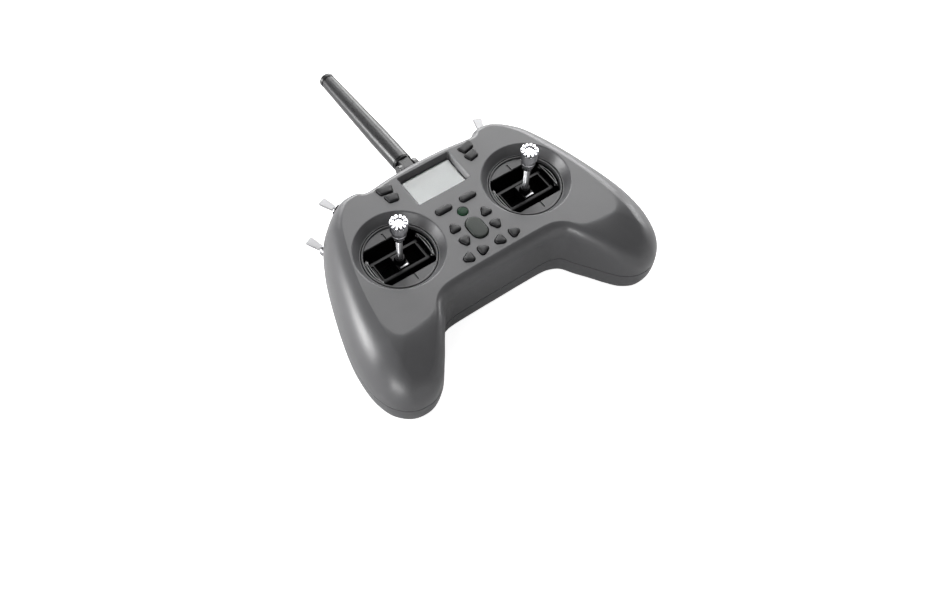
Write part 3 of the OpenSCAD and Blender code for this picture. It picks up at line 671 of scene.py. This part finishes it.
def gimbal_cover():
    """Thin ring with a D-shaped plate at the front and the rear, each with a slit."""
    inner, edge = COVER_R - COVER_RING, 0.25
    profile = [(inner, COVER_LOW), (COVER_R - 0.15, COVER_LOW), (COVER_R, COVER_LOW + 0.15)]
    profile += fillet(COVER_R - edge, COVER_HIGH - edge, edge, 0, 90)
    profile += fillet(inner + edge, COVER_HIGH - edge, edge, 90, 180)
    made = to_object("cover", tube(profile, 128))
    plate_r = COVER_R - 0.5
    start = math.degrees(math.atan2(PLATE_EDGE, math.sqrt(plate_r ** 2 - PLATE_EDGE ** 2)))
    outline = np.array([on_circle(plate_r, a) for a in np.linspace(start, 180 - start, 40)])
    middle = outline.mean(axis=0)
    plate = loft([at_z(outline, COVER_LOW), at_z(outline, PLATE_TOP - 0.2),
                  at_z(middle + (outline - middle) * 0.985, PLATE_TOP)])
    slit = block((-0.45, PLATE_EDGE - 1, COVER_LOW + 0.7), (0.45, PLATE_EDGE + 3.6, COVER_HIGH + 2), 0.08)
    boolean(made, join(plate, placed(plate, turn=(0, 0, 180))), "UNION")
    boolean(made, join(slit, placed(slit, turn=(0, 0, 180))), "DIFFERENCE")
    return made


def bracket():
    """Curved spring bracket at the left and right of a gimbal, with a bent inner lip."""
    arc = [on_circle(BRACKET_R, a) for a in range(-27, 28, 6)]
    wall = strip([(x, y, FRAME_TOP + 0.8) for x, y in arc], 1.5, 0.35)
    outer, inner = 1.03, 1.03 - 0.09
    foot = loft([np.array([(x * outer, y * outer, FRAME_TOP + z) for x, y in arc]
                          + [(x * inner, y * inner, FRAME_TOP + z) for x, y in reversed(arc)])
                 for z in (0.05, 0.4)])
    leaf = strip([(13.7 + 0.35 * math.cos(t * 0.5), 2.1 * t, FRAME_TOP + 0.9) for t in range(-3, 4)],
                 0.9, 0.3)
    return join(wall, foot, leaf)


def shaft():
    """Stick with a thread over most of its length."""
    low, high = PIVOT_Z - 2, STICK_TOP - 5
    return lathe([(1.36, low)] + threaded(1.5, low + 6, high - 1) + [(1.36, high - 0.3), (1.2, high)], 32)


def locknut():
    """Round nut with a groove about its middle."""
    z = STICK_TOP - 13
    profile = [(1.52, z), (2.2, z), (2.5, z + 0.3), (2.5, z + 1.25), (2.25, z + 1.35), (2.25, z + 1.5),
               (2.5, z + 1.6), (2.5, z + 2.6), (2.2, z + 2.9), (1.52, z + 2.9)]
    return tube(profile, 48)


def stick_head():
    """Grooved collar under a wider crown, whose dished top is cut into teeth."""
    low, step, top = STICK_TOP - 10, STICK_TOP - 5.4, STICK_TOP
    profile = [(1.6, low), (3.1, low), (3.4, low + 0.3), (3.4, low + 1.6), (3.1, low + 1.75),
               (3.1, low + 2), (3.4, low + 2.15), (3.4, step - 0.15)]
    profile += [(3.5, step), (3.9, step), (4.1, step + 0.2), (4.1, top - 1.5)]
    profile += fillet(3.75, top - 0.35, 0.35, 0, 90)
    profile += [(2.45, top), (2.3, top - 0.15), (2.1, top - 0.9), (0.4, top - 0.75)]
    made = to_object("head", lathe(profile, 96))
    gap = [(1.9, -0.35), (4.6, -0.75), (4.6, 0.75), (1.9, 0.35)]
    gaps = []
    for k in range(HEAD_TEETH):
        c, s = on_circle(1, 360 / HEAD_TEETH * k)
        gaps.append(loft([at_z(np.array([(x * c - y * width * s, x * s + y * width * c) for x, y in gap]), z)
                          for width, z in ((0.25, top - 1.1), (1, top + 0.4))]))
    boolean(made, join(*gaps), "DIFFERENCE")
    return made


def tooth_gap_shade():
    """Dark disc at the bottom of the gaps between the teeth: painted shade on the floors of the gaps."""
    low, high = STICK_TOP - 1.3, STICK_TOP - 1.02
    return lathe([(0.5, low), (3.98, low), (3.98, high), (0.5, high)], 48)


def screw_head(r, low, high, slot=0.5):
    """Round screw head with a cross slot, its top at high."""
    edge, reach = 0.35, r * 0.62
    profile = [(r * 0.5, low), (r, low), (r, high - edge)] + fillet(r - edge, high - edge, edge, 0, 80)
    made = to_object("screw", lathe(profile + [(0.2, high)], 32))
    for half_x, half_y in ((reach, slot / 2), (slot / 2, reach)):
        arm = block((-half_x, -half_y, high - 0.55), (half_x, half_y, high + 1), 0.05)
        boolean(made, arm, "DIFFERENCE")
    return made


def carrier():
    """Stick foot: a domed boss on a block, with the two pins it tips on."""
    z = PIVOT_Z
    base = block((-3, -4.4, z - 3), (3, 4.4, z + 3), 0.6)
    boss = lathe([(2.6, z + 2.4), (2.9, z + 2.6), (2.8, z + 3.6), (2.5, z + 4), (2.5, z + 4.6),
                  (2.4, z + 5.8), (2.1, z + 6), (1.6, z + 6)], 40)
    pins = placed(lathe([(1.2, -6.4), (1.2, 6.4)], 32), move=(0, 0, z), turn=(90, 0, 0))
    return join(base, boss, pins)


def yoke():
    """Frame with a rod at each end, a slot for the stick and two shallow grooves."""
    z = PIVOT_Z
    made = to_object("yoke", block((-13.2, -6.4, z - 2.6), (13.2, 6.4, z + 2.6), 0.7))
    rods = lathe([(1.3, -16.2), (1.5, -16), (1.5, 16), (1.3, 16.2)], 32)
    boolean(made, placed(rods, move=(0, 0, z), turn=(0, 90, 0)), "UNION")
    boolean(made, block((-11.2, -4.7, z - 6), (11.2, 4.7, z + 6), 0.3), "DIFFERENCE")
    for x in (-12.2, 12.2):
        boolean(made, block((x - 0.55, -4.4, z + 1.8), (x + 0.55, 4.4, z + 4), 0.1), "DIFFERENCE")
    return made


cover, brackets = mesh_shape(gimbal_cover()), join(bracket(), placed(bracket(), turn=(0, 0, 180)))
head, yoke_shape = mesh_shape(stick_head()), mesh_shape(yoke())
foot_clip = block((-2.2, -4.1, PIVOT_Z + 3.05), (2.2, -3.2, PIVOT_Z + 3.5), 0.1)
frame_screw = mesh_shape(screw_head(1.7, FRAME_TOP + 0.02, FRAME_TOP + 0.9))
for s, side in SIDES:
    spot = {"move": (s * GIMBAL_X, 0, 0)}
    stick = "stick_" + side
    piece("cover_" + side, placed(cover, **spot), "body", COVER, ["gimbal_cover_" + side], 35)
    piece("brackets_" + side, placed(brackets, **spot), "body", DULL, ["gimbal_clips_" + side], 40)
    piece("yoke_part_" + side, placed(yoke_shape, **spot), "yoke_" + side, BLACK,
          ["yoke_" + side], 35)
    piece("stick_foot_" + side, placed(carrier(), **spot), stick, BLACK,
          ["stick_carrier_" + side], 40)
    piece("shaft_" + side, placed(shaft(), **spot), stick, STEEL, ["stick_shaft_" + side], 25)
    piece("nut_" + side, placed(locknut(), **spot), stick, CHROME, ["stick_locknut_" + side], 30)
    piece("head_" + side, placed(head, **spot), stick, CHROME, ["stick_head_" + side], 30)
    # black disc that paints shade on the floors of the gaps between the teeth of the head
    piece("tooth_gap_shade_" + side, placed(tooth_gap_shade(), **spot), stick, BLACK)
    piece("foot_clip_" + side, placed(foot_clip, **spot), stick, STEEL)
piece("gimbal_screw_heads", join(*[placed(frame_screw, move=(s * GIMBAL_X + x, y, 0)) for s, _ in SIDES
                                   for x in (-FRAME_SCREW, FRAME_SCREW)
                                   for y in (-FRAME_SCREW, FRAME_SCREW)]),
      "body", STEEL, ["gimbal_screws"], 35)

# ---------------------------------------------------------------- casing screws
screw_top = placed(mesh_shape(screw_head(2.3, 0, 1.8, 0.6)), move=(0, 0, 5), turn=(180, 0, 0))
screw_rod = lathe([(0.7, 4.9)] + threaded(1.0, 5.2, 15.4, 0.15, 0.7) + [(0.4, 15.9)], 20)
casing_screw = join(screw_top, screw_rod)
piece("back_screws", join(*[placed(casing_screw, move=(s * x, y, 0)) for s, _ in SIDES for x, y in SCREWS]),
      "body", STEEL, ["casing_screws"], 35)

# ---------------------------------------------------------------- toggle switches
# Each is built along +Z, with z = 0 at the casing's wall
BUSH_OUT = 3.4             # how far the bushing stands out
BUSH_R = 2.9
BUSH_BACK = -5.9           # where the bushing ends and the switch's block starts
BLADE_LOW = BUSH_OUT + 0.7
BLADE_HIGH = BUSH_OUT + 8.8
NUT_LOW, NUT_HIGH, NUT_R = 0.9, 2.5, 4.3


def switch_body():
    """Threaded bushing, hollow at the front, on the block of the switch."""
    made = to_object("bush", lathe([(2.75, -6)] + threaded(BUSH_R, BUSH_BACK, BUSH_OUT - 0.3, 0.14, 0.6)
                                   + [(2.7, BUSH_OUT), (2.0, BUSH_OUT)], 48))
    boolean(made, block((-3.6, -2.2, -11.7), (3.6, 2.2, BUSH_BACK), 0.3), "UNION")
    boolean(made, lathe([(2.2, -3), (2.2, 8)], 40), "DIFFERENCE")
    return made


def switch_lever():
    """Flat blade that widens outwards, on a round neck with its cross pin."""
    neck = lathe([(0.9, -1.8), (1.15, -1.5), (1.15, BUSH_OUT + 1.2)], 28)
    pin = placed(lathe([(0.8, -2.7), (0.8, 2.7)], 24), move=(0, 0, -0.6), turn=(90, 0, 0))
    corner = 0.3
    rings = []
    # part of the way along the blade, half its width and half its thickness
    for part, half, thick in ((0, 1.2, 0.5), (0.03, 1.45, 0.62), (0.1, 1.6, 0.65), (0.5, 2.0, 0.65),
                              (0.94, 2.3, 0.65), (0.98, 2.22, 0.58), (1, 2.0, 0.4)):
        outline = hull_outline([(0, half - corner, corner), (0, corner - half, corner)], n=24)
        rings.append(at_z(outline * (thick / corner, 1), BLADE_LOW + (BLADE_HIGH - BLADE_LOW) * part))
    return join(neck, pin, loft(rings))


def hex_nut():
    edge, chamfer = 0.2, 0.95
    hexagon = np.array([on_circle(NUT_R, 60 * k) for k in range(6)])
    made = to_object("nut", loft([at_z(hexagon * chamfer, NUT_LOW), at_z(hexagon, NUT_LOW + edge),
                                  at_z(hexagon, NUT_HIGH - edge), at_z(hexagon * chamfer, NUT_HIGH)]))
    boolean(made, lathe([(BUSH_R + 0.04, NUT_LOW - 1), (BUSH_R + 0.04, NUT_HIGH + 1)], 40), "DIFFERENCE")
    return made


body_shape, nut_shape, lever_shape = mesh_shape(switch_body()), mesh_shape(hex_nut()), switch_lever()
for s, side in SIDES:
    for k in SWITCHES:
        piece(f"bushing_{side}_{k}", along_switch(body_shape, k, s), "body", STEEL,
              [f"switch_body_{side}_{k}"], 35)
        piece(f"toggle_{side}_{k}", along_switch(lever_shape, k, s), f"lever_{side}_{k}", SILVER,
              [f"switch_lever_{side}_{k}"], 40)
piece("toggle_nuts", join(*[along_switch(nut_shape, "1", s) for s, _ in SIDES]), "body", BLACK,
      ["switch_nuts"], 30)

# ---------------------------------------------------------------- antenna
# Lengths along the antenna are from its hinge
TUBE_START = 5.6
MAST_LEN = 79.0
CAP_LEN = 4.4
CAP_LOW = MAST_LEN - CAP_LEN
CAP_R = 3.95
MAST_R = 5
RING_LOW = TUBE_START + 0.5          # groove with the dark ring
TAPER_START = TUBE_START + 22
EAR_X = 5.3
TONGUE_R = 3.85


def on_mast(shape):
    """From along +Z at the hinge to along the antenna at rest."""
    return placed(shape, move=(0, HINGE_Y, MAST_Z), turn=(-90 - MAST_SLOPE, 0, 0))


def at_hinge(shape, turn=(0, 0, 0)):
    return placed(shape, move=(0, HINGE_Y, MAST_Z), turn=turn)


def knuckle():
    """Swivel neck with a fork of two round ears."""
    neck = [(2.9, -10.5), (3.2, -10.2), (3.2, -5.1), (4.9, -5.1)]
    neck += fillet(4.7, -4.6, 0.5, -70, 0) + fillet(4.9, -0.3, 0.3, 0, 90)
    made = to_object("knuckle", at_hinge(lathe(neck, 72), (-90, 0, 0)))
    edge = 0.6
    ears = [(4.2, -EAR_X)] + fillet(4.3, -EAR_X + edge, edge, -80, 0)
    ears += fillet(4.3, EAR_X - edge, edge, 0, 80) + [(4.2, EAR_X)]
    boolean(made, at_hinge(lathe(ears, 72), (0, 90, 0)), "UNION")
    boolean(made, at_hinge(block((-3.1, -TONGUE_R - 0.3, -9), (3.1, 9.3, 9), 0.4)), "DIFFERENCE")
    boolean(made, at_hinge(lathe([(1.3, -8), (1.3, 8)], 32), (0, 90, 0)), "DIFFERENCE")
    return made


def mast():
    """Tapered tube with a groove near the hinge, on the tongue that turns in the fork."""
    profile = [(4.7, TUBE_START), (4.95, TUBE_START + 0.25), (MAST_R, RING_LOW - 0.05), (4.62, RING_LOW),
               (4.62, RING_LOW + 0.9), (MAST_R, RING_LOW + 0.95), (MAST_R, TAPER_START),
               (CAP_R, CAP_LOW - 0.3), (3.7, CAP_LOW)]
    made = to_object("mast", on_mast(lathe(profile, 96)))
    disc = lathe([(3.6, -2.8), (TONGUE_R, -2.5), (TONGUE_R, 2.5), (3.6, 2.8)], 64)
    tongue = to_object("tongue", at_hinge(disc, (0, 90, 0)))
    root = block((-2.8, -TONGUE_R, 0), (2.8, TONGUE_R, TUBE_START + 1), 0.3)
    boolean(tongue, on_mast(root), "UNION")
    boolean(made, mesh_shape(tongue), "UNION")
    boolean(made, at_hinge(lathe([(1.36, -8), (1.36, 8)], 32), (0, 90, 0)), "DIFFERENCE")
    return made


def mast_band():
    return tube([(4.6, RING_LOW), (4.85, TUBE_START + 0.6), (4.85, TUBE_START + 1.3),
                 (4.6, TUBE_START + 1.4)], 96)


def mast_tip():
    """Cap with a neck that leaves a groove before it, and a domed end."""
    profile = [(3.6, CAP_LOW), (3.6, CAP_LOW + 0.7), (3.85, CAP_LOW + 0.75), (CAP_R, CAP_LOW + 0.9)]
    profile += [(CAP_R * math.cos(math.radians(a)), CAP_LOW + 2.6 + 1.8 * math.sin(math.radians(a)))
                for a in range(0, 88, 8)]
    return lathe(profile, 96)


piece("knuckle", knuckle(), "antenna_base", MAST, ["antenna_knuckle"], 35)
piece("mast_tube", mast(), "antenna", MAST, ["antenna_tube"], 35)
piece("mast_band", on_mast(mast_band()), "antenna", BLACK, ["antenna_ring"], 35)
piece("mast_tip", on_mast(mast_tip()), "antenna", CAP, ["antenna_cap"], 35)

# ---------------------------------------------------------------- finishes of the nodes that stay
NODE_FINISH = {"gimbal_frame_left": BLACK, "gimbal_frame_right": BLACK, "main_board": BOARD,
               "keypad_mat": RUBBER, "antenna_socket": BLACK, "antenna_pin": STEEL, "battery_cells": CELL,
               "battery_contacts": STEEL, "usb_port": STEEL, "rf_module": BOARD}
for name, finish in NODE_FINISH.items():
    node = nodes[name]
    if not node.material_slots:
        node.data.materials.append(finish)
    for place in node.material_slots:
        place.link = "OBJECT"
        place.material = finish

# ---------------------------------------------------------------- camera
CAMERA_AT = (-0.18594, -0.23945, 0.44976)
AZIMUTH, ELEVATION, ROLL_ANGLE = math.radians(-38.84), math.radians(58.30), math.radians(3.76)
LENS, SENSOR = 42.587, 36
cam = bpy.data.objects.new("camera", bpy.data.cameras.new("camera"))
bpy.context.scene.collection.objects.link(cam)
bpy.context.scene.camera = cam
back = Vector((math.sin(AZIMUTH) * math.cos(ELEVATION), -math.cos(AZIMUTH) * math.cos(ELEVATION),
               math.sin(ELEVATION)))
right = Vector((math.cos(AZIMUTH), math.sin(AZIMUTH), 0))
up = back.cross(right)
cam_x = math.cos(ROLL_ANGLE) * right + math.sin(ROLL_ANGLE) * up
cam_y = -math.sin(ROLL_ANGLE) * right + math.cos(ROLL_ANGLE) * up
cam.matrix_world = Matrix.Translation(CAMERA_AT) @ Matrix((cam_x, cam_y, back)).transposed().to_4x4()
cam.data.lens, cam.data.sensor_width = LENS, SENSOR
cam.data.clip_start, cam.data.clip_end = 0.01, 20

# ---------------------------------------------------------------- lights
LIT_POINT = Vector((0, 0, 0.02))

# name: direction, distance and size in metres, power in watts
LIGHTS = {
    "key_light": ((0.42, 0.5, 0.75), 1.6, (0.9, 0.9), 14.5),
    "right_rear": ((0.8, 0.6, 0.25), 1.4, (0.7, 0.5), 11),
    "rear": ((0.15, 1, 0.4), 1.4, (0.9, 0.4), 14),
    "rear_low": ((0.3, 1, 0.1), 1.3, (0.9, 0.3), 6),
    "left_front": ((-0.85, -0.5, 0.12), 1.3, (0.6, 0.25), 9),
    "right_low": ((0.95, 0, 0.12), 1.3, (0.7, 0.3), 5.9),
    "front_low": ((-0.1, -1, 0.1), 1.3, (0.9, 0.25), 0.8),
    "left_rear": ((-0.85, 0.5, 0.15), 1.3, (0.5, 0.4), 18)}


def softbox(name, direction, distance, size, power):
    light = bpy.data.objects.new(name, bpy.data.lights.new(name, "AREA"))
    bpy.context.scene.collection.objects.link(light)
    light.data.shape, light.data.size, light.data.size_y = "RECTANGLE", size[0], size[1]
    light.data.energy = power
    d = Vector(direction).normalized()
    light.location = LIT_POINT + d * distance
    light.rotation_mode = "QUATERNION"
    light.rotation_quaternion = d.to_track_quat("Z", "Y")


for name, spec in LIGHTS.items():
    softbox(name, *spec)


def studio():
    """Light overhead and at the horizon, with a darker band between that metal reflects."""
    world = bpy.data.worlds.new("studio")
    bpy.context.scene.world = world
    world.use_nodes = True
    sky, links = world.node_tree.nodes, world.node_tree.links
    height = sky.new("ShaderNodeSeparateXYZ")
    links.new(sky.new("ShaderNodeTexCoord").outputs["Generated"], height.inputs[0])
    bands = sky.new("ShaderNodeValToRGB")
    links.new(height.outputs["Z"], bands.inputs[0])
    ramp = bands.color_ramp.elements
    ramp[0].color = (0.75, 0.75, 0.75, 1)
    for position, grey in ((0.3, 0.6), (0.45, 0.16), (0.68, 0.16), (0.82, 0.62)):
        ramp.new(position).color = (grey, grey, grey, 1)
    ramp[-1].color = (0.8, 0.8, 0.8, 1)
    links.new(bands.outputs[0], sky["Background"].inputs[0])
    sky["Background"].inputs["Strength"].default_value = 0.62


# ---------------------------------------------------------------- floor
FLOOR_R, FLOOR_LOW, FLOOR_TOP = 3000, -20, -0.05


def floor_paper():
    """White paper that shows as lit paper to the camera and gives off less light to the object."""
    mat = bpy.data.materials.new("floor_paper")
    mat.use_nodes = True
    tree = mat.node_tree
    bsdf = tree.nodes["Principled BSDF"]
    bsdf.inputs["Base Color"].default_value = (0.85, 0.85, 0.85, 1)
    bsdf.inputs["Roughness"].default_value = 0.95
    bsdf.inputs["Emission Color"].default_value = (1, 1, 1, 1)
    seen = tree.nodes.new("ShaderNodeLightPath")
    strength = tree.nodes.new("ShaderNodeMapRange")
    strength.inputs["To Min"].default_value = 0.03
    strength.inputs["To Max"].default_value = 0.85
    tree.links.new(seen.outputs["Is Camera Ray"], strength.inputs["Value"])
    tree.links.new(strength.outputs[0], bsdf.inputs["Emission Strength"])
    return mat


studio()
floor_outline = hull_outline([(0, 0, FLOOR_R)], n=64)
floor = to_object("floor", loft([at_z(floor_outline, z) for z in (FLOOR_LOW, FLOOR_TOP)]))
floor.data.materials.append(floor_paper())
bpy.context.scene.view_settings.view_transform = "Standard"
